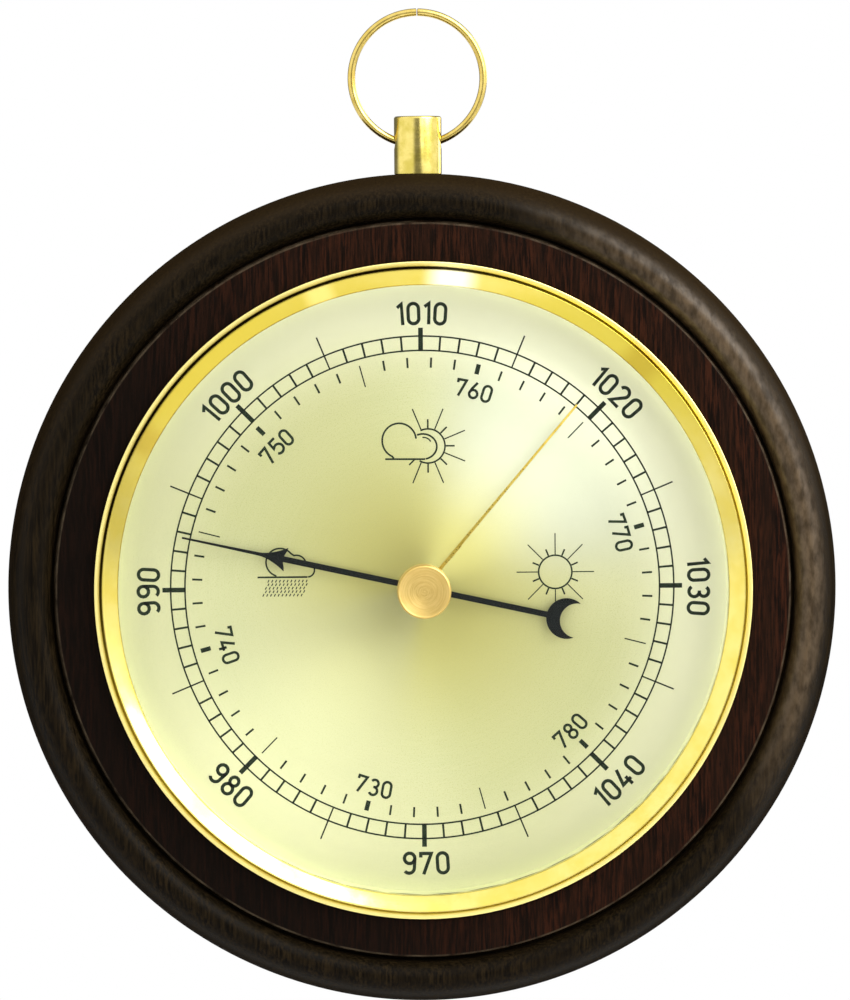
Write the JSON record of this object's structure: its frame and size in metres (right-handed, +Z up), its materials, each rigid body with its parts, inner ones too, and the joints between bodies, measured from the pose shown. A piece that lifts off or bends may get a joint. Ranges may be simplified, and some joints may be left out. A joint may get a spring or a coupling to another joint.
{
  "type": "aneroid barometer",
  "caption": "Round wall barometer in a turned wooden case, with a brass ring hanger, a pointer that shows the air pressure and a set hand turned by a brass knob.",
  "frame": {"origin": "the point where the nail touches the inside of the hanging ring, at its top", "axes": "+Z up, the dial faces -Y, +X is on the right of a person who looks at the dial, and the ring lies in the XZ plane"},
  "size_m": [0.13, 0.0328, 0.1561],
  "materials": {
    "case_wood": "satin",
    "hanger_brass": "polished",
    "bezel_brass": "polished",
    "knob_brass": "satin",
    "hand_brass": "polished",
    "glass": "polished",
    "gasket": "matte",
    "dial": "satin",
    "can": "satin",
    "screws": "satin",
    "movement_brass": "satin",
    "spring_bronze": "satin",
    "blued_steel": "satin",
    "pointer_black": "satin"
  },
  "bodies": {
    "ring": {"hanging_ring": "hanger_brass"},
    "case": {"base_plate": "movement_brass", "bezel": "bezel_brass", "bracket_screw_lower": "screws", "bracket_screw_upper": "screws", "bridge_nut_lower": "screws", "bridge_nut_upper": "screws", "bridge_pillar_lower": "movement_brass", "bridge_pillar_upper": "movement_brass", "capsule_lower_diaphragm": "spring_bronze", "chain": "screws", "clip_screw_1": "screws", "clip_screw_2": "screws", "clip_screw_3": "screws", "dial_pillar_1": "movement_brass", "dial_pillar_2": "movement_brass", "dial_pillar_3": "movement_brass", "dial_plate": "dial", "glass": "glass", "glass_gasket": "gasket", "hairspring": "spring_bronze", "hairspring_stud": "movement_brass", "hanger_post": "hanger_brass", "housing_can": "can", "lower_bridge": "movement_brass", "movement_screw_1": "screws", "movement_screw_2": "screws", "movement_screw_3": "screws", "pivot_bracket_lower": "movement_brass", "pivot_bracket_upper": "movement_brass", "retaining_clip_1": "screws", "retaining_clip_2": "screws", "retaining_clip_3": "screws", "spindle_bush": "knob_brass", "spring_bridge": "movement_brass", "spring_screw_1": "screws", "spring_screw_2": "screws", "upper_bridge": "movement_brass", "wooden_case": "case_wood"},
    "pointer_body": {"pointer_arbor": "screws", "pointer": "pointer_black"},
    "rocking_body": {"rocking_shaft": "screws", "crank_arm": "movement_brass", "chain_arm": "movement_brass"},
    "lever_body": {"mainspring": "blued_steel", "lever_arm": "movement_brass", "lever_rivet": "screws"},
    "link_body": {"link_bar": "movement_brass"},
    "capsule_body": {"capsule_upper_diaphragm": "spring_bronze", "capsule_stud": "movement_brass", "knife_edge_pin": "blued_steel"},
    "set_body": {"set_knob": "knob_brass", "set_spindle": "knob_brass", "set_hand": "hand_brass"},
    "calibration_body": {"calibration_screw": "screws"}
  },
  "joints": [
    {"name": "case_swing", "type": "hinge", "parent": "ring", "child": "case", "pos_m": [0, 0, -0.01988], "axis": [1, 0, 0], "range_deg": [-95, 95]},
    {"name": "pointer_turn", "type": "hinge", "parent": "case", "child": "pointer_body", "pos_m": [0, -0.00313, -0.08988], "axis": [0, 1, 0], "range_deg": [-104, 259], "stiffness_Nm_per_rad": 0.0001, "deforming": ["hairspring"]},
    {"name": "rocking_turn", "type": "hinge", "parent": "case", "child": "rocking_body", "pos_m": [0.0276, 0.00437, -0.08988], "axis": [0, 0, 1], "range_deg": [-27.5, 11], "deforming": ["chain"]},
    {"name": "lever_flex", "type": "hinge", "parent": "case", "child": "lever_body", "pos_m": [-0.022, 0.00687, -0.08988], "axis": [0, 0, 1], "range_deg": [-0.65, 1.55]},
    {"name": "link_slide", "type": "slide", "parent": "case", "child": "link_body", "axis": [0, 1, 0], "range_m": [-0.00052, 0.00126]},
    {"name": "capsule_travel", "type": "slide", "parent": "case", "child": "capsule_body", "axis": [0, 1, 0], "range_m": [-0.00022725, 0.00057167], "deforming": ["capsule_upper_diaphragm"]},
    {"name": "set_hand_turn", "type": "hinge", "parent": "case", "child": "set_body", "pos_m": [0, -0.00313, -0.08988], "axis": [0, 1, 0], "continuous": true},
    {"name": "calibration_turn", "type": "hinge", "parent": "case", "child": "calibration_body", "pos_m": [-0.0235, -0.00313, -0.08988], "axis": [0, 1, 0], "range_deg": [-540, 540]}
  ],
  "couplings": [
    {"joint": "pointer_turn", "follows": "capsule_travel", "rad_per_m": 7864.6},
    {"joint": "rocking_turn", "follows": "capsule_travel", "rad_per_m": -821.68},
    {"joint": "lever_flex", "follows": "capsule_travel", "rad_per_m": 45.455},
    {"joint": "link_slide", "follows": "capsule_travel", "ratio": 2.1364}
  ]
}
